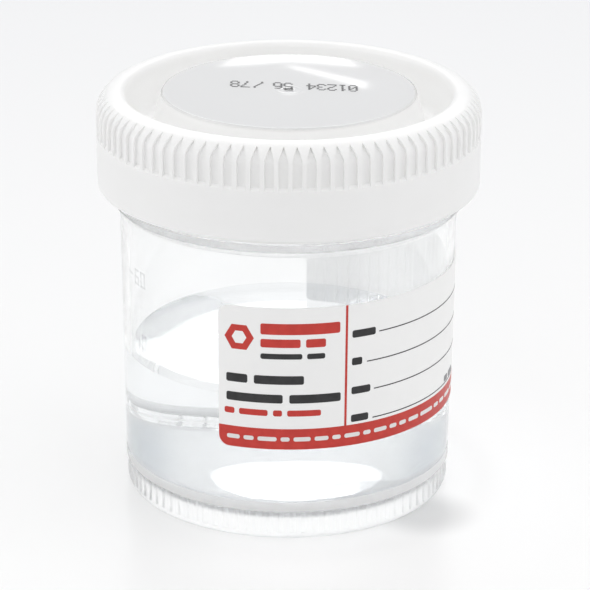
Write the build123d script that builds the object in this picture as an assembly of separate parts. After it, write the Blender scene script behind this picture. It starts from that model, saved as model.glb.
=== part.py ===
from build123d import *
import math
import os

# Screw-capped specimen container, partly filled, with a wrap-round label.
# Millimetres, +Z up, origin at the centre of the base.  The front is -Y.

# ---- overall ----
cap_radius = 28.5
overall_height = 62.0           # base to the top of the cap's rim

# ---- cap ----
cap_height = 14.5
cap_wall = 1.2
cap_edge_round = 0.8
shoulder_round = 3.3
rim_inner_round = 0.8
rim_thickness = 1.4             # over the neck's edge
recess_depth = 7.0              # ring-shaped recess inside the rim
recess_width = 5.5              # at its mouth
recess_draft = 0.35
recess_corner = 1.0
plug_wall = 0.95                # shell of the recess, which plugs the neck
platform_drop = 0.3             # disc below the rim
platform_draft = 1.9            # its wall runs out by this to the recess floor
platform_round = 0.5
platform_wall = 1.1
gate_radius = 1.0
gate_depth = 0.25

# ---- grip grooves round the cap ----
groove_count = 90
groove_width = 1.35
groove_depth = 0.45
groove_length = 6.1             # below the rim's top
groove_tilt = 45                # tool direction above the horizontal
groove_full_angle = 22          # full width up to here on the shoulder arc
groove_tip_angle = 60
groove_phase = -1.5             # degrees from the front

# ---- container ----
neck_wall = 1.0
neck_edge_round = 0.35
collar_gap = 3.0                # collar below the cap's edge
collar_step = 1.0               # neck outside the body
collar_round = 0.4
body_wall = 1.15
body_taper = 0.5                # on the radius, from the collar to the base band
foot_step = 0.4                 # base band inside the body
foot_height = 4.5               # top of the ribbed band
foot_wall = 1.6
foot_edge_round = 0.8
floor_top = 4.3
floor_wall = 1.3
floor_corner = 2.0

# ---- ribs round the base band ----
rib_count = 90
rib_height = 0.22
rib_share = 0.55                # of the pitch that is rib
rib_start = 1.1

# ---- screw thread ----
thread_pitch = 4.0
thread_turns = 1.5
thread_foot = 1.7               # axial width at the root
thread_crest = 0.7
thread_bite = 0.15              # root sunk into the wall it grows from
neck_thread_height = 0.45
neck_thread_rise = 1.1          # first turn above the cap's edge
cap_thread_height = 0.40
cap_thread_rise = 3.1

# ---- label ----
label_bottom = 14.7
label_height = 22.1
label_thickness = 0.12
label_start = -23.5             # degrees from the front, + towards +X
label_sweep = 196.5
label_corner = 1.6

# ---- liquid ----
liquid_level = 22.1

# ---- clearances ----
plug_clearance = 0.25           # plug inside the neck
thread_clearance = 0.25         # between the two crests
seat_clearance = 0.30           # neck top under the cap
liquid_clearance = 0.05

# ---- radii, from the cap inwards ----
cap_inner_radius = cap_radius - cap_wall
neck_radius = cap_inner_radius - cap_thread_height - thread_clearance - neck_thread_height
neck_inner_radius = neck_radius - neck_wall
plug_radius = neck_inner_radius - plug_clearance
recess_floor_radius = plug_radius - plug_wall
rim_inner_radius = recess_floor_radius + recess_draft
platform_radius = rim_inner_radius - recess_width
body_radius_high = neck_radius - collar_step
body_radius_low = body_radius_high - body_taper
foot_radius = body_radius_low - foot_step

# ---- heights, from the top down ----
cap_bottom = overall_height - cap_height
platform_top = overall_height - platform_drop
recess_floor = overall_height - recess_depth
plug_bottom = recess_floor - plug_wall
recess_roof = overall_height - rim_thickness
neck_top = recess_roof - seat_clearance
collar_height = cap_bottom - collar_gap
groove_bottom = overall_height - groove_length


def slope_radius(z):
    """Outside radius of the tapered wall at height z."""
    share = (z - foot_height) / (collar_height - foot_height)
    return body_radius_low + (body_radius_high - body_radius_low) * share


def turned(points):
    """Solid of revolution from (radius, height, corner rounding) points."""
    face = make_face(Polyline([(r, z) for r, z, _ in points], close=True))
    for r, z, rounding in points:
        if rounding:
            corner = face.vertices().sort_by_distance(Vector(r, z))[0]
            face = fillet(corner, rounding)
    return revolve(Plane.XZ * face, Axis.Z)


def polar_copies(shape, count, start=0.0):
    """The shape repeated evenly about Z."""
    return [Rot(0, 0, start + 360 * k / count) * shape for k in range(count)]


def thread(root_radius, height, start):
    """Helical ridge: it grows outward from root_radius, or inward if height is negative."""
    sink = -math.copysign(thread_bite, height)
    profile = Polyline(
        (root_radius + sink, -thread_foot / 2),
        (root_radius + height, -thread_crest / 2),
        (root_radius + height, thread_crest / 2),
        (root_radius + sink, thread_foot / 2),
        close=True,
    )
    path = Helix(thread_pitch, thread_pitch * thread_turns, root_radius)
    ridge = sweep(Plane.XZ * make_face(profile), path, is_frenet=True)
    return Pos(0, 0, start) * ridge


def container():
    """Foot ring, raised floor, tapered wall and wider threaded neck, in one moulding."""
    flare_top = collar_height + collar_step
    foot_inner_radius = foot_radius - foot_wall
    floor_bottom = floor_top - floor_wall
    shell = turned([
        (foot_inner_radius, 0, 0.3),
        (foot_radius, 0, foot_edge_round),
        (foot_radius, foot_height, 0),
        (body_radius_low, foot_height, 0.15),
        (body_radius_high, collar_height, collar_round),
        (neck_radius, flare_top, collar_round),
        (neck_radius, neck_top, neck_edge_round),
        (neck_inner_radius, neck_top, neck_edge_round),
        (neck_inner_radius, flare_top + neck_wall, 0.6),
        (body_radius_high - body_wall, flare_top - body_wall / 2, 0.6),
        (slope_radius(floor_top) - body_wall, floor_top, floor_corner),
        (0, floor_top, 0),
        (0, floor_bottom, 0),
        (foot_inner_radius - 0.4, floor_bottom, 0.5),
    ])
    turns = thread(neck_radius, neck_thread_height, cap_bottom + neck_thread_rise)
    return shell + foot_ribs() + turns


def foot_ribs():
    """Ring of fine upright ribs round the base band."""
    pitch = 2 * math.pi / rib_count
    half = pitch * rib_share / 2
    edges = []
    for k in range(rib_count):
        crest = k * pitch
        spots = [(foot_radius, crest - half), (foot_radius + rib_height, crest), (foot_radius, crest + half),
                 (foot_radius, crest + pitch / 2), (foot_radius, crest + pitch - half)]
        a, b, c, d, e = [(r * math.cos(t), r * math.sin(t)) for r, t in spots]
        edges += [ThreePointArc(a, b, c), ThreePointArc(c, d, e)]
    ring = make_face(edges) - Circle(foot_radius - foot_wall / 2)
    return Pos(0, 0, rib_start) * extrude(ring, foot_height - rib_start)


def cap():
    """One moulding: skirt, rounded rim, ring recess whose shell plugs the neck, and raised disc."""
    platform_foot = platform_radius + platform_draft
    platform_roof = platform_top - platform_wall
    shell = turned([
        (cap_inner_radius, cap_bottom, 0.3),
        (cap_radius, cap_bottom, cap_edge_round),
        (cap_radius, overall_height, shoulder_round),
        (rim_inner_radius, overall_height, rim_inner_round),
        (recess_floor_radius, recess_floor, recess_corner),
        (platform_foot, recess_floor, recess_corner),
        (platform_radius, platform_top, platform_round),
        (0, platform_top, 0),
        (0, platform_roof, 0),
        (platform_radius - platform_wall, platform_roof, 0.6),
        (platform_foot - platform_wall, plug_bottom, 0.6),
        (plug_radius, plug_bottom, 0.8),
        (plug_radius, recess_roof, 0.3),
        (cap_inner_radius, recess_roof, 1.5),
    ])
    ball = (gate_radius**2 + gate_depth**2) / (2 * gate_depth)
    shell -= Pos(0, 0, platform_top + ball - gate_depth) * Sphere(ball)
    shell -= polar_copies(groove_cutter(), groove_count, groove_phase)
    return shell + thread(cap_inner_radius, -cap_thread_height, cap_bottom + cap_thread_rise)


def groove_cutter():
    """One upright groove at the front: flat sides, a pointed top on the shoulder and a sloped foot."""
    spare = 1.0
    floor_radius = cap_radius - groove_depth
    skin = turned([
        (floor_radius, groove_bottom, 0),
        (cap_radius, groove_bottom - groove_depth, 0),
        (cap_radius + spare, groove_bottom - groove_depth, 0),
        (cap_radius + spare, overall_height + spare, 0),
        (0, overall_height + spare, 0),
        (0, overall_height - groove_depth, 0),
        (floor_radius, overall_height - groove_depth, shoulder_round - groove_depth),
    ])
    half = groove_width / 2
    outline = Polyline(
        (-half, -cap_height),
        (half, -cap_height),
        (half, along_shoulder(groove_full_angle)),
        (0, along_shoulder(groove_tip_angle)),
        (-half, along_shoulder(groove_full_angle)),
        close=True,
    )
    pencil = Rot(-groove_tilt, 0, 0) * extrude(Plane.XZ * make_face(outline), cap_height, both=True)
    return skin & (Pos(0, shoulder_round - cap_radius, overall_height - shoulder_round) * pencil)


def along_shoulder(angle):
    """Place on the shoulder arc, measured across the tilted groove tool."""
    return shoulder_round * math.sin(math.radians(angle - groove_tilt))


def label():
    """Film wrapped on the wall from the front left, round the right side, to the back."""
    low = slope_radius(label_bottom)
    high = slope_radius(label_bottom + label_height)
    strip = Plane.XZ * make_face(Polyline(
        (low, label_bottom),
        (low + label_thickness, label_bottom),
        (high + label_thickness, label_bottom + label_height),
        (high, label_bottom + label_height),
        close=True,
    ))
    film = Rot(0, 0, label_start - 90) * revolve(strip, Axis.Z, label_sweep)
    for angle, side in ((label_start, 1), (label_start + label_sweep, -1)):
        for height, end in ((label_bottom, 1), (label_bottom + label_height, -1)):
            film -= label_corner_cutter(angle, side, height, end)
    return film


def label_corner_cutter(angle, side, height, end):
    """Waste outside one rounded label corner; side and end point into the label."""
    square = Pos(side * label_corner / 2, end * label_corner / 2) * Rectangle(label_corner, label_corner)
    round_off = Pos(side * label_corner, end * label_corner) * Circle(label_corner)
    waste = extrude(Plane.XZ * (square - round_off), body_radius_high + 2 * label_thickness + 1)
    return Rot(0, 0, angle) * Pos(0, 0, height) * waste


def liquid():
    """The contents, a hair inside the wall and floor."""
    gap = body_wall + liquid_clearance
    floor = floor_top + liquid_clearance
    return turned([
        (0, floor, 0),
        (slope_radius(floor) - gap, floor, floor_corner),
        (slope_radius(liquid_level) - gap, liquid_level, 0),
        (0, liquid_level, 0),
    ])


os.makedirs("parts", exist_ok=True)
pieces = {"container": container, "cap": cap, "label": label, "liquid": liquid}
for name, build in pieces.items():
    export_step(build(), f"parts/{name}.step")
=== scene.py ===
import math
import random

import bmesh
import bpy
from mathutils import Matrix, Vector


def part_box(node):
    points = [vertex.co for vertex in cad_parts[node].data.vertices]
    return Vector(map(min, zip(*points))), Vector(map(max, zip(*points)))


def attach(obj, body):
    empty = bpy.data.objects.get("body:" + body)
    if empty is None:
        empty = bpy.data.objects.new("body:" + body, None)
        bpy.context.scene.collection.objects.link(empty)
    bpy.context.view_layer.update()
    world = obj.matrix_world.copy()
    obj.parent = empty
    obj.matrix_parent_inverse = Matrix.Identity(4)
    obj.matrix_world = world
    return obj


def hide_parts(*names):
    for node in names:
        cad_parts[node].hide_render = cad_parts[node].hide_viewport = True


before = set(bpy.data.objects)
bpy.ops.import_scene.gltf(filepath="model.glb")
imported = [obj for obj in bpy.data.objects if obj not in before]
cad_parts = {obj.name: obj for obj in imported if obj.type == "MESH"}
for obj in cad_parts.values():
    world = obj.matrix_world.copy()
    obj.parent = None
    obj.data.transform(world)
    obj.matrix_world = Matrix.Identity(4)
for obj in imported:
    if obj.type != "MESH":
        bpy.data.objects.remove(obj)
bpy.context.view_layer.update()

MM = 0.001
scene = bpy.context.scene

# ---------------------------------------------------------------- frame
LABEL_LOW, LABEL_HIGH = (corner.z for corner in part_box("label"))
CAP_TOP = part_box("cap")[1].z
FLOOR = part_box("liquid")[0].z


def inner_radius(node, height, reach=0.3 * MM):
    """Least radius of a CAD node's vertices near a height."""
    return min(v.co.xy.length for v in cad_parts[node].data.vertices if abs(v.co.z - height) < reach)


# ---------------------------------------------------------------- meshes
CREASE = math.radians(32)


def add_object(name, bm, material, body):
    """A bmesh as a named object, smooth up to the crease angle, riding on a body if one is named."""
    for face in bm.faces:
        face.smooth = True
    for edge in bm.edges:
        edge.smooth = edge.calc_face_angle(0) < CREASE
    mesh = bpy.data.meshes.new(name)
    bm.to_mesh(mesh)
    bm.free()
    obj = bpy.data.objects.new(name, mesh)
    scene.collection.objects.link(obj)
    mesh.materials.append(material)
    if body:
        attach(obj, body)
    return obj


def lathe(points, segments=256):
    """Closed turned surface from (radius, height) points; radius 0 closes on the axis."""
    bm = bmesh.new()
    rings = []
    for r, z in points:
        if r < 1e-9:
            rings.append([bm.verts.new((0, 0, z))])
        else:
            angles = [2 * math.pi * k / segments for k in range(segments)]
            rings.append([bm.verts.new((r * math.cos(a), r * math.sin(a), z)) for a in angles])
    for low, high in zip(rings, rings[1:]):
        for k in range(segments):
            n = (k + 1) % segments
            corners = [low[k % len(low)], low[n % len(low)], high[n % len(high)], high[k % len(high)]]
            unique = list(dict.fromkeys(corners))
            if len(unique) > 2:
                bm.faces.new(unique)
    bmesh.ops.recalc_face_normals(bm, faces=bm.faces)
    return bm


# ---------------------------------------------------------------- print on the label
LABEL_THICK = 0.12 * MM
LABEL_START, LABEL_END = -23.5, 173.0   # degrees round the wall from the front
LABEL_ROUND = 1.6                       # corner radius in millimetres
WALL_LOW = inner_radius("label", LABEL_LOW)
WALL_HIGH = inner_radius("label", LABEL_HIGH)
BODY_WALL = 1.15 * MM
FACET = 1.5                             # degrees between cuts of a wrapped sheet


def wall_radius(z):
    """Outside radius of the container's tapered wall."""
    share = (z - LABEL_LOW) / (LABEL_HIGH - LABEL_LOW)
    return WALL_LOW + (WALL_HIGH - WALL_LOW) * share


def wrap(x, y, lift):
    """Flat label coordinates to the wall: x degrees from the front, y height in metres."""
    r = wall_radius(y) + lift
    a = math.radians(x)
    return (r * math.sin(a), -r * math.cos(a), y)


def box(x0, x1, y0, y1):
    """Outline of a plain rectangle, x in degrees and y in millimetres."""
    return [(x0, y0 * MM), (x1, y0 * MM), (x1, y1 * MM), (x0, y1 * MM)]


def rounded(x0, x1, y0, y1, radius, steps=3, corners=(1, 1, 1, 1)):
    """Outline of a rectangle in degrees and mm; corners flags low right, high right, high left, low left."""
    degrees = math.degrees(MM / wall_radius((y0 + y1) / 2 * MM))
    radius = min(radius, (y1 - y0) / 2, (x1 - x0) / degrees / 2)
    points = []
    spots = ((x1, y0, -90), (x1, y1, 0), (x0, y1, 90), (x0, y0, 180))
    for (cx, cy, start), bent in zip(spots, corners):
        if not bent:
            points.append((cx, cy * MM))
            continue
        sx = -1 if cx == x1 else 1
        sy = 1 if cy == y0 else -1
        for k in range(steps + 1):
            a = math.radians(start + 90 * k / steps)
            x = cx + (sx * radius + radius * math.cos(a)) * degrees
            points.append((x, (cy + sy * radius + radius * math.sin(a)) * MM))
    return points


def hexagon(x, y, radius):
    """Outline of a hexagon on the wall, x in degrees, y and radius in millimetres."""
    degrees = math.degrees(MM / wall_radius(y * MM))
    turns = [2 * math.pi * k / 6 for k in range(6)]
    return [(x + radius * math.cos(a) * degrees, (y + radius * math.sin(a)) * MM) for a in turns]


def wrapped_sheet(name, outlines, lift, thickness, material):
    """Closed thin solids on the wall from flat outlines, each a list of loops where later loops are holes."""
    bm = bmesh.new()
    for loops in outlines:
        edges = []
        for loop in loops:
            verts = [bm.verts.new((x, y / MM, 0)) for x, y in loop]
            edges += [bm.edges.new((a, b)) for a, b in zip(verts, verts[1:] + verts[:1])]
        bmesh.ops.triangle_fill(bm, use_beauty=True, edges=edges)
    low = min(v.co.x for v in bm.verts)
    high = max(v.co.x for v in bm.verts)
    cut = math.ceil(low / FACET) * FACET
    while cut < high:
        geometry = bm.verts[:] + bm.edges[:] + bm.faces[:]
        bmesh.ops.bisect_plane(bm, geom=geometry, dist=1e-5, plane_co=(cut, 0, 0), plane_no=(1, 0, 0))
        cut += FACET
    bmesh.ops.recalc_face_normals(bm, faces=bm.faces)
    for face in bm.faces:
        if face.normal.z < 0:
            face.normal_flip()
    made = bmesh.ops.extrude_face_region(bm, geom=bm.faces[:])
    top = {v for v in made["geom"] if isinstance(v, bmesh.types.BMVert)}
    for v in bm.verts:
        v.co = wrap(v.co.x, v.co.y * MM, lift + (thickness if v in top else 0))
    bmesh.ops.recalc_face_normals(bm, faces=bm.faces)
    return add_object(name, bm, material, "vessel")


# ---------------------------------------------------------------- materials
class Shader:
    """A Principled material with helpers for its node tree."""

    def __init__(self, name, **sockets):
        self.material = bpy.data.materials.new(name)
        self.material.use_nodes = True
        self.tree = self.material.node_tree
        self.shader = self.tree.nodes["Principled BSDF"]
        self.output = self.tree.nodes["Material Output"]
        for socket, value in sockets.items():
            self.shader.inputs[socket.replace("_", " ")].default_value = value

    def node(self, kind, **values):
        """New node; values set its properties."""
        made = self.tree.nodes.new(kind)
        for key, value in values.items():
            setattr(made, key, value)
        return made

    def link(self, source, target):
        self.tree.links.new(source, target)

    def place(self):
        """Object coordinates, in metres from the base's centre."""
        return self.node("ShaderNodeTexCoord").outputs["Object"]

    def noise(self, scale, detail=2.0, roughness=0.5, stretch=None):
        """Noise on object coordinates; scale per metre, stretch as three factors."""
        texture = self.node("ShaderNodeTexNoise")
        texture.inputs["Scale"].default_value = scale
        texture.inputs["Detail"].default_value = detail
        texture.inputs["Roughness"].default_value = roughness
        source = self.place()
        if stretch:
            mapping = self.node("ShaderNodeMapping")
            mapping.inputs["Scale"].default_value = stretch
            self.link(source, mapping.inputs["Vector"])
            source = mapping.outputs["Vector"]
        self.link(source, texture.inputs["Vector"])
        return texture.outputs["Fac"]

    def remap(self, source, low, high, to_low, to_high, smooth=False):
        """Source from low..high to to_low..to_high, held at both ends."""
        ranged = self.node("ShaderNodeMapRange", clamp=True)
        if smooth:
            ranged.interpolation_type = "SMOOTHSTEP"
        for socket, value in zip(("From Min", "From Max", "To Min", "To Max"), (low, high, to_low, to_high)):
            ranged.inputs[socket].default_value = value
        self.link(source, ranged.inputs["Value"])
        return ranged.outputs["Result"]

    def sums(self, operation, first, second):
        """Math node on sockets or numbers."""
        made = self.node("ShaderNodeMath", operation=operation)
        for slot, value in zip(made.inputs, (first, second)):
            if isinstance(value, (int, float)):
                slot.default_value = value
            else:
                self.link(value, slot)
        return made.outputs[0]

    def blend(self, factor, first, second):
        """Colour mix from first to second by a factor socket."""
        mix = self.node("ShaderNodeMix", data_type="RGBA")
        self.link(factor, mix.inputs["Factor"])
        for slot, value in ((mix.inputs[6], first), (mix.inputs[7], second)):
            if isinstance(value, tuple):
                slot.default_value = value
            else:
                self.link(value, slot)
        return mix.outputs[2]

    def bump(self, height, distance):
        """Bump from a height socket, added to the bumps before it; distance in metres."""
        made = self.node("ShaderNodeBump")
        made.inputs["Distance"].default_value = distance
        self.link(height, made.inputs["Height"])
        old = self.shader.inputs["Normal"]
        if old.is_linked:
            self.link(old.links[0].from_socket, made.inputs["Normal"])
        self.link(made.outputs["Normal"], old)

    def soften(self, weight, reach):
        """Light spreads under the surface over about this distance."""
        self.shader.inputs["Subsurface Weight"].default_value = weight
        self.shader.inputs["Subsurface Radius"].default_value = (1.0, 1.0, 1.0)
        self.shader.inputs["Subsurface Scale"].default_value = reach

    def radius_and_height(self):
        """Distance from the axis and height, in metres."""
        split = self.node("ShaderNodeSeparateXYZ")
        self.link(self.place(), split.inputs[0])
        across = self.sums("MULTIPLY", split.outputs["X"], split.outputs["X"])
        along = self.sums("MULTIPLY", split.outputs["Y"], split.outputs["Y"])
        return self.sums("SQRT", self.sums("ADD", across, along), 0.0), split.outputs["Z"]

    def away_from(self, x, y, z=0.0):
        """Distance from a point given in millimetres."""
        apart = self.node("ShaderNodeVectorMath", operation="DISTANCE")
        self.link(self.place(), apart.inputs[0])
        apart.inputs[1].default_value = (x * MM, y * MM, z * MM)
        return apart.outputs["Value"]

    def lets_lamps_through(self, tint):
        """Shadow rays pass, so that lamps light what is inside."""
        path = self.node("ShaderNodeLightPath")
        clear = self.node("ShaderNodeBsdfTransparent")
        clear.inputs["Color"].default_value = tint
        mix = self.node("ShaderNodeMixShader")
        self.link(path.outputs["Is Shadow Ray"], mix.inputs["Fac"])
        self.link(self.shader.outputs[0], mix.inputs[1])
        self.link(clear.outputs[0], mix.inputs[2])
        self.link(mix.outputs[0], self.output.inputs["Surface"])


DISC_RADIUS = 18.85 * MM
DISC_DISH = 0.33 * MM
RECESS_IN, RECESS_OUT = 19.4 * MM, 25.0 * MM


def make_white_plastic():
    """Satin skirt with a few specks, a recess painted paler against its shade, and a polished disc with a
    rippled gate mark.
    """
    m = Shader("white_plastic", IOR=1.5)
    m.soften(0.5, 0.8 * MM)
    radius, height = m.radius_and_height()
    on_top = m.remap(height, CAP_TOP - 0.9 * MM, CAP_TOP - 0.6 * MM, 0.0, 1.0)
    near = m.remap(radius, 18.6 * MM, 19.0 * MM, 1.0, 0.0)
    disc = m.sums("MULTIPLY", on_top, near)
    mottle = m.remap(m.noise(160, 3.0), 0.3, 0.7, 0.0, 1.0)
    skirt = m.blend(mottle, (0.922, 0.920, 0.912, 1), (0.935, 0.933, 0.927, 1))
    below = m.remap(height, CAP_TOP - 3.2 * MM, CAP_TOP - 1.2 * MM, 1.0, 0.0, True)
    # painted light: the ring recess is coloured paler to lift the shade that falls in it
    painted_light_mask = m.sums("MULTIPLY", m.remap(radius, RECESS_IN - 0.5 * MM, RECESS_IN, 0.0, 1.0),
                    m.remap(radius, RECESS_OUT, RECESS_OUT + 1.0 * MM, 1.0, 0.0))
    skirt = m.blend(m.sums("MULTIPLY", painted_light_mask, below), skirt, (0.985, 0.984, 0.98, 1))
    plain = m.blend(disc, skirt, (0.785, 0.785, 0.789, 1))
    specks = m.node("ShaderNodeTexVoronoi")
    specks.inputs["Scale"].default_value = 170
    m.link(m.place(), specks.inputs["Vector"])
    dot = m.remap(specks.outputs["Distance"], 0.03, 0.055, 1.0, 0.0)
    rare = m.node("ShaderNodeSeparateColor")
    m.link(specks.outputs["Color"], rare.inputs[0])
    chosen = m.remap(rare.outputs[0], 0.86, 0.87, 0.0, 0.55)
    specked = m.blend(m.sums("MULTIPLY", dot, chosen), plain, (0.30, 0.30, 0.29, 1))
    m.link(specked, m.shader.inputs["Base Color"])
    polish = m.sums("ADD", disc, m.sums("MULTIPLY", mottle, 0.12))
    m.link(m.remap(polish, 0.0, 1.0, 0.36, 0.035), m.shader.inputs["Roughness"])
    ripple = m.node("ShaderNodeTexWave", wave_type="RINGS", rings_direction="Z")
    ripple.inputs["Scale"].default_value = 330
    ripple.inputs["Distortion"].default_value = 3.5
    ripple.inputs["Detail"].default_value = 1.0
    m.link(m.place(), ripple.inputs["Vector"])
    gate = m.sums("MULTIPLY", m.remap(radius, 0.6 * MM, 3.0 * MM, 1.0, 0.0, True), on_top)
    m.bump(m.sums("MULTIPLY", ripple.outputs["Fac"], gate), 0.05 * MM)
    dish = m.sums("MULTIPLY", m.sums("MULTIPLY", radius, radius), disc)
    m.bump(m.sums("MULTIPLY", dish, 1 / DISC_RADIUS ** 2), DISC_DISH)
    m.bump(m.sums("MULTIPLY", m.noise(60, 1.0), disc), 0.008 * MM)
    m.bump(m.sums("MULTIPLY", m.noise(2500, 2.0), m.sums("SUBTRACT", 1.0, disc)), 0.004 * MM)
    return m.material


BAND_TOP_EDGE, BAND_RADIUS = 4.5 * MM, 21.8 * MM
NECK_START = 43.5 * MM
POLISHED_AT = (1.2, -5.8, 3.0)          # middle of the clear patch under the floor, in millimetres
POLISHED_RADIUS = 10.0 * MM
UNDERSIDE = 3.2 * MM


def make_translucent_plastic():
    """Clear plastic, frosted on the ribbed band, the neck and the floor's underside but for a patch."""
    m = Shader("translucent_plastic", Base_Color=(0.985, 0.988, 0.99, 1), IOR=1.45)
    m.shader.inputs["Transmission Weight"].default_value = 0.93
    radius, height = m.radius_and_height()
    band = m.sums("MULTIPLY", m.remap(height, BAND_TOP_EDGE, BAND_TOP_EDGE + 0.4 * MM, 0.30, 0.0),
                  m.remap(radius, BAND_RADIUS, BAND_RADIUS + 0.4 * MM, 0.0, 1.0))
    neck = m.remap(height, NECK_START, NECK_START + 1.0 * MM, 0.0, 0.12)
    patch = m.remap(m.away_from(*POLISHED_AT), POLISHED_RADIUS, POLISHED_RADIUS + 0.6 * MM, 0.0, 0.30)
    under = m.sums("MULTIPLY", patch, m.remap(height, UNDERSIDE, UNDERSIDE + 0.1 * MM, 1.0, 0.0))
    frosted = m.sums("ADD", m.sums("MAXIMUM", m.sums("MAXIMUM", band, neck), under), 0.02)
    m.link(m.sums("ADD", frosted, m.sums("MULTIPLY", m.noise(220, 2.0), 0.02)), m.shader.inputs["Roughness"])
    m.bump(m.noise(60, 1.0, 0.5, (1, 1, 0.4)), 0.012 * MM)
    m.bump(m.noise(500, 1.0), 0.0012 * MM)
    m.lets_lamps_through((0.98, 0.983, 0.986, 1))
    return m.material


def make_clear_liquid():
    """Clear liquid with a slow, very shallow ripple."""
    m = Shader("clear_liquid", Base_Color=(0.985, 0.993, 1, 1), IOR=1.333, Roughness=0.0)
    m.shader.inputs["Transmission Weight"].default_value = 1.0
    m.bump(m.noise(45, 1.0), 0.02 * MM)
    m.lets_lamps_through((0.97, 0.98, 0.99, 1))
    return m.material


def make_film():
    """White label film with a faint fibre and a soft sheen."""
    m = Shader("label_film", IOR=1.45)
    cloud = m.remap(m.noise(300, 3.0), 0.3, 0.7, 0.0, 1.0)
    m.link(m.blend(cloud, (0.945, 0.945, 0.94, 1), (0.96, 0.96, 0.955, 1)), m.shader.inputs["Base Color"])
    m.link(m.remap(m.noise(500, 2.0), 0.3, 0.7, 0.32, 0.42), m.shader.inputs["Roughness"])
    m.bump(m.noise(1800, 3.0), 0.006 * MM)
    return m.material


def make_ink(name, dark, light, roughness, alpha=1.0):
    """Print or haze with a slightly uneven coverage."""
    m = Shader(name, Alpha=alpha)
    cover = m.remap(m.noise(900, 3.0), 0.35, 0.65, 0.0, 1.0)
    m.link(m.blend(cover, dark, light), m.shader.inputs["Base Color"])
    sheen = m.remap(m.noise(700, 2.0), 0.3, 0.7, roughness - 0.05, roughness + 0.05)
    m.link(sheen, m.shader.inputs["Roughness"])
    return m.material


white_plastic = make_white_plastic()
translucent_plastic = make_translucent_plastic()
clear_liquid = make_clear_liquid()
label_film = make_film()
ink_red = make_ink("ink_red", (0.54, 0.030, 0.020, 1), (0.60, 0.038, 0.026, 1), 0.36)
ink_black = make_ink("ink_black", (0.012, 0.012, 0.013, 1), (0.022, 0.022, 0.024, 1), 0.4)
ink_white = make_ink("ink_white", (0.80, 0.78, 0.77, 1), (0.84, 0.82, 0.81, 1), 0.4)
mark_haze = make_ink("mark_haze", (0.62, 0.63, 0.64, 1), (0.70, 0.71, 0.72, 1), 0.3, 0.1)
step_milk = make_ink("step_milk", (0.93, 0.93, 0.93, 1), (0.96, 0.96, 0.96, 1), 0.35, 0.36)
ink_grey = make_ink("ink_grey", (0.16, 0.16, 0.17, 1), (0.24, 0.24, 0.25, 1), 0.4)

for node, material in (("cap", white_plastic), ("container", translucent_plastic)):
    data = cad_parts[node].data
    data.materials.clear()
    data.materials.append(material)

# ---------------------------------------------------------------- label
LOW, HIGH = LABEL_LOW / MM, LABEL_HIGH / MM
sheet = [[rounded(LABEL_START, LABEL_END, LOW, HIGH, LABEL_ROUND, 6)]]
label = wrapped_sheet("label_sheet", sheet, 0.0, LABEL_THICK, label_film)
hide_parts("label")

INK = 0.015 * MM
RED_BAND_TOP = 17.95
DIVIDER = (19.3, 20.1)
WORD_ROUND = 0.28
RULE_END, RULE_HEIGHT = 86.0, 0.17
LAST_WORD = 160.0                       # degrees; no word of a row begins past it


def bars(height, spans, low):
    """Rounded word bars of one height along a line; spans are pairs of degrees."""
    return [[rounded(x0, x1, low, low + height, WORD_ROUND)] for x0, x1 in spans]


red = [[rounded(LABEL_START, LABEL_END, LOW, RED_BAND_TOP, LABEL_ROUND, 6, (1, 0, 0, 1))]]
red.append([box(*DIVIDER, RED_BAND_TOP, HIGH)])
red.append([hexagon(-16.2, 32.0, 2.2), hexagon(-16.2, 32.0, 1.1)])
red += bars(1.7, [(-9.0, 17.4)], 32.7)
red += bars(1.3, [(-9.0, 4.2), (6.0, 12.6)], 30.7)
red += bars(0.95, [(-21.4, -17.9), (-16.3, -6.6), (-4.8, -1.8), (-0.1, 11.2)], 19.95)
red += bars(1.5, [(98.0, 128.0)], 33.2)
wrapped_sheet("label_red", red, LABEL_THICK, INK, ink_red)

black = bars(0.85, [(-9.0, 4.8), (6.4, 12.4)], 28.9)
black += bars(1.35, [(-20.7, -13.4), (-11.2, 5.4)], 24.95)
black += bars(1.35, [(-20.7, -1.6), (0.6, 17.9)], 22.0)
# for each field: the word bar's lower edge and end, the rule's start and lower edge
FIELDS = ((31.6, 30.3, 31.7, 31.85), (27.3, 25.4, 27.2, 27.50),
          (22.75, 28.7, 30.1, 23.00), (18.35, 28.1, 29.8, 18.42))
for low, word_end, rule_start, rule_low in FIELDS:
    black += bars(1.15, [(21.7, word_end)], low)
    black.append([box(rule_start, RULE_END, rule_low, rule_low + RULE_HEIGHT)])


def word_row(draw, start, shortest, longest, gap, end):
    """Spans of random width with even gaps; the last one is cut at the end."""
    x, spans = start, []
    while x < LAST_WORD:
        width = draw.uniform(shortest, longest)
        spans.append((x, min(x + width, end)))
        x += width + gap
    return spans


small = random.Random(4)
for row in range(7):
    black += bars(0.7, word_row(small, 98.0, 3.5, 11.0, 1.7, 166.0), 30.6 - 1.75 * row)
wrapped_sheet("label_black", black, LABEL_THICK, INK, ink_black)

white = bars(0.66, word_row(random.Random(7), -20.6, 2.6, 8.5, 1.3, 168.0), 16.0)
wrapped_sheet("label_white", white, LABEL_THICK + INK, INK, ink_white)
wrapped_sheet("label_code", bars(0.95, [(69.6, 73.4), (74.8, 81.4)], 18.75), LABEL_THICK, INK, ink_grey)

# ---------------------------------------------------------------- numbers
DOT_DIGITS = {
    "0": "01110 10001 10011 10101 11001 10001 01110", "1": "00100 01100 00100 00100 00100 00100 01110",
    "2": "01110 10001 00001 00110 01000 10000 11111", "3": "01110 10001 00001 00110 00001 10001 01110",
    "4": "00010 00110 01010 10010 11111 00010 00010", "5": "11111 10000 11110 00001 00001 10001 01110",
    "6": "01110 10000 11110 10001 10001 10001 01110", "7": "11111 00001 00010 00100 00100 01000 01000",
    "8": "01110 10001 10001 01110 10001 10001 01110", "/": "00001 00001 00010 00100 01000 10000 10000",
}
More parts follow.
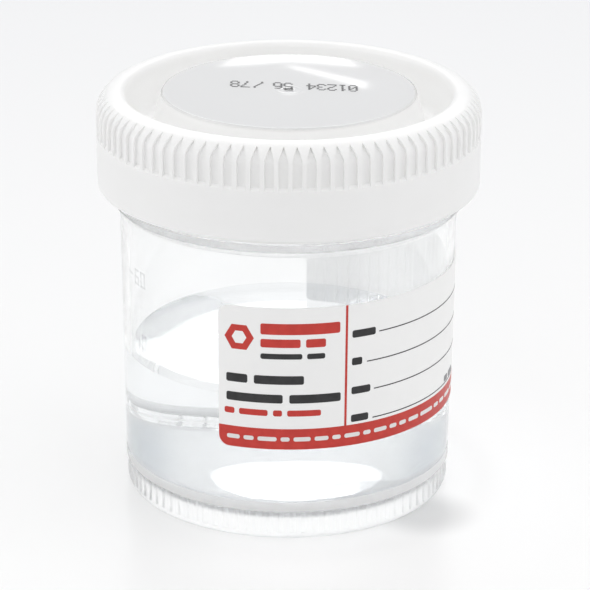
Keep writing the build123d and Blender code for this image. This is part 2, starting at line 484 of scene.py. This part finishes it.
# each digit and its edge towards +X, in millimetres
CODE = (("0", 10.0), ("1", 8.45), ("2", 6.9), ("3", 5.35), ("4", 3.8), ("5", 0.4), ("6", -1.15),
        ("/", -4.0), ("7", -5.95), ("8", -7.5))
CODE_MIDDLE = 1.95
CODE_SLOPE = 0.115
DOT_PITCH = (0.27, 0.46)
DOT_RADIUS = 0.225
DOT_THICK = 0.02
DISC_DROP = 0.3 * MM                    # from the rim down to the disc


def cap_code():
    """Ink dots of plain numbers on the disc, read from the back."""
    bm = bmesh.new()
    top = CAP_TOP - DISC_DROP
    for digit, right in CODE:
        for row, line in enumerate(DOT_DIGITS[digit].split()):
            for column, mark in enumerate(line):
                if mark == "0":
                    continue
                x = right - column * DOT_PITCH[0]
                y = CODE_MIDDLE - CODE_SLOPE * x + (row - 3) * DOT_PITCH[1]
                place = Matrix.Translation((x * MM, y * MM, top))
                bmesh.ops.create_cone(bm, cap_ends=True, segments=8, radius1=DOT_RADIUS * MM,
                                      radius2=DOT_RADIUS * 0.9 * MM, depth=DOT_THICK * MM, matrix=place)
    return add_object("cap_code", bm, ink_black, "closure")


cap_code()

# strokes of the graduation marks' digits, lettered clockwise from the top, g across the middle
SEGMENTS = {"0": "abcdef", "6": "acdefg", "4": "bcfg"}


def wall_number(text, x, y, height, stroke):
    """Number from upright and level strokes, starting at x degrees and y millimetres."""
    degrees = math.degrees(MM / wall_radius(y * MM))
    width = height * 0.55
    outlines = []
    for k, digit in enumerate(text):
        left = x + k * (width + 0.5) * degrees
        right, half = left + width * degrees, y + height / 2
        edge = stroke * degrees
        places = {
            "a": (left, right, y + height - stroke, y + height),
            "b": (right - edge, right, half, y + height),
            "c": (right - edge, right, y, half),
            "d": (left, right, y, y + stroke),
            "e": (left, left + edge, y, half),
            "f": (left, left + edge, half, y + height),
            "g": (left, right, half - stroke / 2, half + stroke / 2),
        }
        outlines += [[rounded(*places[segment], stroke * 0.45)] for segment in SEGMENTS[digit]]
    return outlines


marks = []
for text, y in (("60", 35.2), ("40", 25.3)):
    marks += wall_number(text, -64.0, y, 2.5, 0.36)
    marks.append([rounded(-71.0, -66.0, y + 1.1, y + 1.42, 0.15)])
wrapped_sheet("wall_marks", marks, 0.0, 0.03 * MM, mark_haze)

# ---------------------------------------------------------------- milky step over the ribbed band
STEP = 4.53 * MM
HAZE_THICK = 0.01 * MM


def step_haze(name, top, lift):
    """Thin ring on the wall from the step up to a height."""
    low, high = wall_radius(STEP) + lift, wall_radius(top) + lift
    corners = [(low, STEP), (low + HAZE_THICK, STEP), (high + HAZE_THICK, top), (high, top), (low, STEP)]
    bm = lathe(corners)
    bmesh.ops.remove_doubles(bm, verts=bm.verts, dist=0.001 * MM)
    bmesh.ops.recalc_face_normals(bm, faces=bm.faces)
    return add_object(name, bm, step_milk, "vessel")


for k, top in enumerate((5.1, 5.6, 6.1)):
    step_haze("step_haze_" + str(k), top * MM, (0.005 + 0.015 * k) * MM)

# ---------------------------------------------------------------- contents
LEVEL = 22.0 * MM
MENISCUS = 0.5 * MM
MENISCUS_REACH = 2.2 * MM
WETTING = 0.06 * MM
CORNER = 2.0 * MM
SURFACE_RING = 9 * MM                   # how far in from the wall the surface is divided


def contents_profile():
    """Radius and height round the liquid: floor, rounded corner, wall, meniscus and free surface."""
    edge = wall_radius(FLOOR) - BODY_WALL + WETTING
    floor = FLOOR - WETTING
    points = [(0, floor), (edge * 0.5, floor)]
    for k in range(13):
        a = math.radians(-90 + 90 * k / 12)
        points.append((edge - CORNER + CORNER * math.cos(a), floor + CORNER + CORNER * math.sin(a)))
    top = LEVEL + MENISCUS
    for share in (0.25, 0.5, 0.75, 1.0):
        z = floor + CORNER + (top - floor - CORNER) * share
        points.append((wall_radius(z) - BODY_WALL + WETTING, z))
    rim = wall_radius(top) - BODY_WALL
    for k in range(1, 25):
        back = SURFACE_RING * (k / 24) ** 2
        points.append((rim - back, LEVEL + MENISCUS * math.exp(-back / MENISCUS_REACH)))
    points += [(rim * 0.4, LEVEL), (0, LEVEL)]
    return points


contents = add_object("contents", lathe(contents_profile(), 192), clear_liquid, "vessel")
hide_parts("liquid")

# ---------------------------------------------------------------- stage
FLOOR_NEAR, FLOOR_FAR = (1.0, 1.0, 1.0, 1), (0.895, 0.90, 0.92, 1)
# colours of a painted pool of light in front of the base and a painted shadow beside it
FLOOR_PAINTED_LIGHT, FLOOR_PAINTED_SHADOW = (1.12, 1.12, 1.12, 1), (0.58, 0.585, 0.59, 1)
FLOOR_THROUGH = (1.015, 1.02, 1.02, 1)
FLOOR_SHARE = 0.5                       # of the glow in what the camera and gloss see


def stage_floor():
    """Pale floor that reads near white to the camera and still takes the shadow, with a painted shadow beside
    the base's right side and a painted pool of light in front of the base.
    """
    bm = bmesh.new()
    bmesh.ops.create_grid(bm, x_segments=1, y_segments=1, size=8.0)
    m = Shader("floor", Base_Color=(0.88, 0.88, 0.88, 1), Roughness=0.25)
    m.shader.inputs["Specular IOR Level"].default_value = 0.35
    split = m.node("ShaderNodeSeparateXYZ")
    m.link(m.place(), split.inputs[0])
    far = m.remap(split.outputs["Y"], -0.03, 0.27, 0.0, 1.0)
    lit = m.blend(far, FLOOR_NEAR, FLOOR_FAR)
    # painted pool of light: the floor's glow is brightened in front of the base
    front = m.remap(m.away_from(0, -27), 4 * MM, 22 * MM, 1.0, 0.0, True)
    lit = m.blend(front, lit, FLOOR_PAINTED_LIGHT)
    # painted shadow: the floor's glow is darkened in a soft patch beside the base's right side
    painted_shadow = m.remap(m.away_from(20.5, -15), 2.5 * MM, 9.5 * MM, 1.0, 0.0, True)
    lit = m.blend(painted_shadow, lit, FLOOR_PAINTED_SHADOW)
    path = m.node("ShaderNodeLightPath")
    through = path.outputs["Is Transmission Ray"]
    glow = m.node("ShaderNodeEmission")
    m.link(m.blend(through, lit, FLOOR_THROUGH), glow.inputs["Color"])
    seen = m.sums("MAXIMUM", path.outputs["Is Camera Ray"], path.outputs["Is Glossy Ray"])
    seen = m.sums("MAXIMUM", m.sums("MULTIPLY", seen, FLOOR_SHARE), through)
    mix = m.node("ShaderNodeMixShader")
    m.link(seen, mix.inputs["Fac"])
    m.link(m.shader.outputs[0], mix.inputs[1])
    m.link(glow.outputs[0], mix.inputs[2])
    m.link(mix.outputs[0], m.output.inputs["Surface"])
    add_object("floor", bm, m.material, None)


def area_lamp(name, place, size, power, target=(0, 0, 0.03)):
    """Rectangular lamp in metres and watts, turned to its target."""
    data = bpy.data.lights.new(name, "AREA")
    data.shape = "RECTANGLE"
    data.size, data.size_y = size
    data.energy = power
    lamp = bpy.data.objects.new(name, data)
    scene.collection.objects.link(lamp)
    turn = (Vector(target) - Vector(place)).to_track_quat("-Z", "Y").to_matrix().to_4x4()
    lamp.matrix_world = Matrix.Translation(place) @ turn
    return lamp


stage_floor()
area_lamp("overhead", (0, -0.1, 0.78), (0.7, 0.5), 0.3)
area_lamp("left", (-0.7, -0.1, 0.16), (0.5, 0.25), 0.5)
area_lamp("right", (0.7, -0.1, 0.16), (0.5, 0.25), 0.38)
# two weak unseen lamps light the label's inner face, which the wall shows
for name, side, power in (("inside_back", 1, 0.0052), ("inside_front", -1, 0.0046)):
    place, target = (-0.006, -0.006 * side, 0.034), (0.03, 0.03 * side, 0.030)
    inside = area_lamp(name, place, (0.022, 0.012), power, target)
    inside.visible_camera = inside.visible_glossy = inside.visible_transmission = False

# colours of the studio: soft light, the cards, and the walls beside them
LIGHT_LOW, LIGHT_HIGH = (0.68, 0.68, 0.685, 1), (1.0, 1.0, 1.0, 1)
LOW_CARD, HIGH_CARD, GLOSS_CARD = (5.5, 5.5, 5.5, 1), (1.5, 1.5, 1.5, 1), (2.6, 2.6, 2.6, 1)
PALE_WALL, COOL_WALL, COOL_SIDE = (0.93, 0.94, 0.95, 1), (0.66, 0.74, 0.80, 1), (0.36, 0.49, 0.60, 1)
FRONT_WALL = (2.0, 2.0, 2.0, 1)
GLOSS_LOW, GLOSS_HIGH = (0.70, 0.72, 0.74, 1), (0.90, 0.91, 0.92, 1)
SKY_SEEN = (0.90, 0.905, 0.92, 1)


def studio_world():
    """Even white light; clear plastic and gloss see bright cards behind and cooler walls round them."""
    world = bpy.data.worlds.new("studio")
    scene.world = world
    world.use_nodes = True
    tree = world.node_tree

    def node(kind, **values):
        made = tree.nodes.new(kind)
        for key, value in values.items():
            setattr(made, key, value)
        return made

    def maths(operation, *sources):
        """Math node on sockets or numbers."""
        made = node("ShaderNodeMath", operation=operation)
        for slot, value in zip(made.inputs, sources):
            if isinstance(value, (int, float)):
                slot.default_value = value
            else:
                tree.links.new(value, slot)
        return made.outputs[0]

    def ramp(source, low, high, to_low, to_high):
        """Source from low..high to to_low..to_high with soft ends."""
        made = node("ShaderNodeMapRange", interpolation_type="SMOOTHSTEP")
        for socket, value in zip(("From Min", "From Max", "To Min", "To Max"), (low, high, to_low, to_high)):
            made.inputs[socket].default_value = value
        tree.links.new(source, made.inputs["Value"])
        return made.outputs["Result"]

    def rises(source, low, high):
        return ramp(source, low, high, 0.0, 1.0)

    def falls(source, low, high):
        return ramp(source, low, high, 1.0, 0.0)

    def product(first, second):
        return maths("MULTIPLY", first, second)

    def leaning(source, slope, other):
        """Other plus slope times source."""
        return maths("MULTIPLY_ADD", source, slope, other)

    def mixed(factor, first, second):
        """Colour mix from first to second by a factor socket."""
        made = node("ShaderNodeMix", data_type="RGBA")
        tree.links.new(factor, made.inputs["Factor"])
        for slot, value in ((made.inputs[6], first), (made.inputs[7], second)):
            if isinstance(value, tuple):
                slot.default_value = value
            else:
                tree.links.new(value, slot)
        return made.outputs[2]

    split = node("ShaderNodeSeparateXYZ")
    tree.links.new(node("ShaderNodeTexCoord").outputs["Generated"], split.inputs[0])
    x, y, z = split.outputs
    aside, behind = maths("ABSOLUTE", x), rises(y, 0.3, 0.35)
    lighting = mixed(rises(z, -0.1, 0.9), LIGHT_LOW, LIGHT_HIGH)

    # what clear pieces see: a narrow card low behind, a wider one over it, and cooler walls beside them
    low = product(falls(aside, 0.18, 0.24), product(rises(z, 0.30, 0.32), falls(z, 0.372, 0.379)))
    high = product(falls(aside, 0.30, 0.60), product(rises(z, 0.355, 0.385), falls(z, 0.43, 0.47)))
    cool = product(rises(z, 0.362, 0.385), falls(z, 0.405, 0.43))
    walls = mixed(cool, PALE_WALL, mixed(rises(aside, 0.12, 0.32), COOL_WALL, COOL_SIDE))
    through = mixed(low, mixed(high, walls, HIGH_CARD), LOW_CARD)
    through = mixed(behind, FRONT_WALL, through)

    # what gloss sees: a card whose lower edge is arched and narrow, and a slanted strip beside it
    above = product(rises(leaning(aside, 0.6, z), 0.333, 0.335), falls(aside, 0.42, 0.52))
    narrow = maths("MAXIMUM", falls(leaning(z, 0.23, aside), 0.0862, 0.0870), rises(z, 0.37, 0.39))
    above = product(above, narrow)
    strip = product(rises(leaning(x, 2.4, z), 0.3245, 0.3265), falls(leaning(x, 2.0, z), 0.3292, 0.3308))
    strip = product(strip, product(rises(x, -0.001, 0.001), falls(x, 0.0125, 0.0135)))
    gloss = mixed(rises(z, 0.0, 0.6), GLOSS_LOW, GLOSS_HIGH)
    gloss = mixed(product(maths("MAXIMUM", above, strip), behind), gloss, GLOSS_CARD)

    path = node("ShaderNodeLightPath")
    colour = mixed(path.outputs["Is Glossy Ray"], lighting, gloss)
    colour = mixed(path.outputs["Is Transmission Ray"], colour, through)
    colour = mixed(path.outputs["Is Camera Ray"], colour, SKY_SEEN)
    tree.links.new(colour, tree.nodes["Background"].inputs["Color"])


studio_world()

scene.cycles.max_bounces = 32
scene.cycles.diffuse_bounces = 16
scene.cycles.transmission_bounces = 32
scene.cycles.transparent_max_bounces = 32
scene.cycles.glossy_bounces = 12

# ---------------------------------------------------------------- camera
CAMERA_DISTANCE = 427.9 * MM
CAMERA_HEIGHT = 192.2 * MM
CAMERA_PITCH = 0.363795
CAMERA_YAW = 0.002471
CAMERA_ROLL = 0.005823
FOCAL_IN_FRAMES = 5.12397


def camera():
    """Camera at the photograph's viewing angle."""
    data = bpy.data.cameras.new("camera")
    data.sensor_width = 36.0
    data.lens = FOCAL_IN_FRAMES * data.sensor_width
    obj = bpy.data.objects.new("camera", data)
    scene.collection.objects.link(obj)
    cp, sp = math.cos(CAMERA_PITCH), math.sin(CAMERA_PITCH)
    cy, sy = math.cos(CAMERA_YAW), math.sin(CAMERA_YAW)
    forward = Vector((sy * cp, cy * cp, -sp))
    right = Vector((cy, -sy, 0))
    up = right.cross(forward)
    cr, sr = math.cos(CAMERA_ROLL), math.sin(CAMERA_ROLL)
    right, up = cr * right + sr * up, cr * up - sr * right
    turn = Matrix((right, up, -forward)).transposed()
    obj.matrix_world = Matrix.Translation((0, -CAMERA_DISTANCE, CAMERA_HEIGHT)) @ turn.to_4x4()
    scene.camera = obj


camera()
scene.view_settings.view_transform = "Standard"
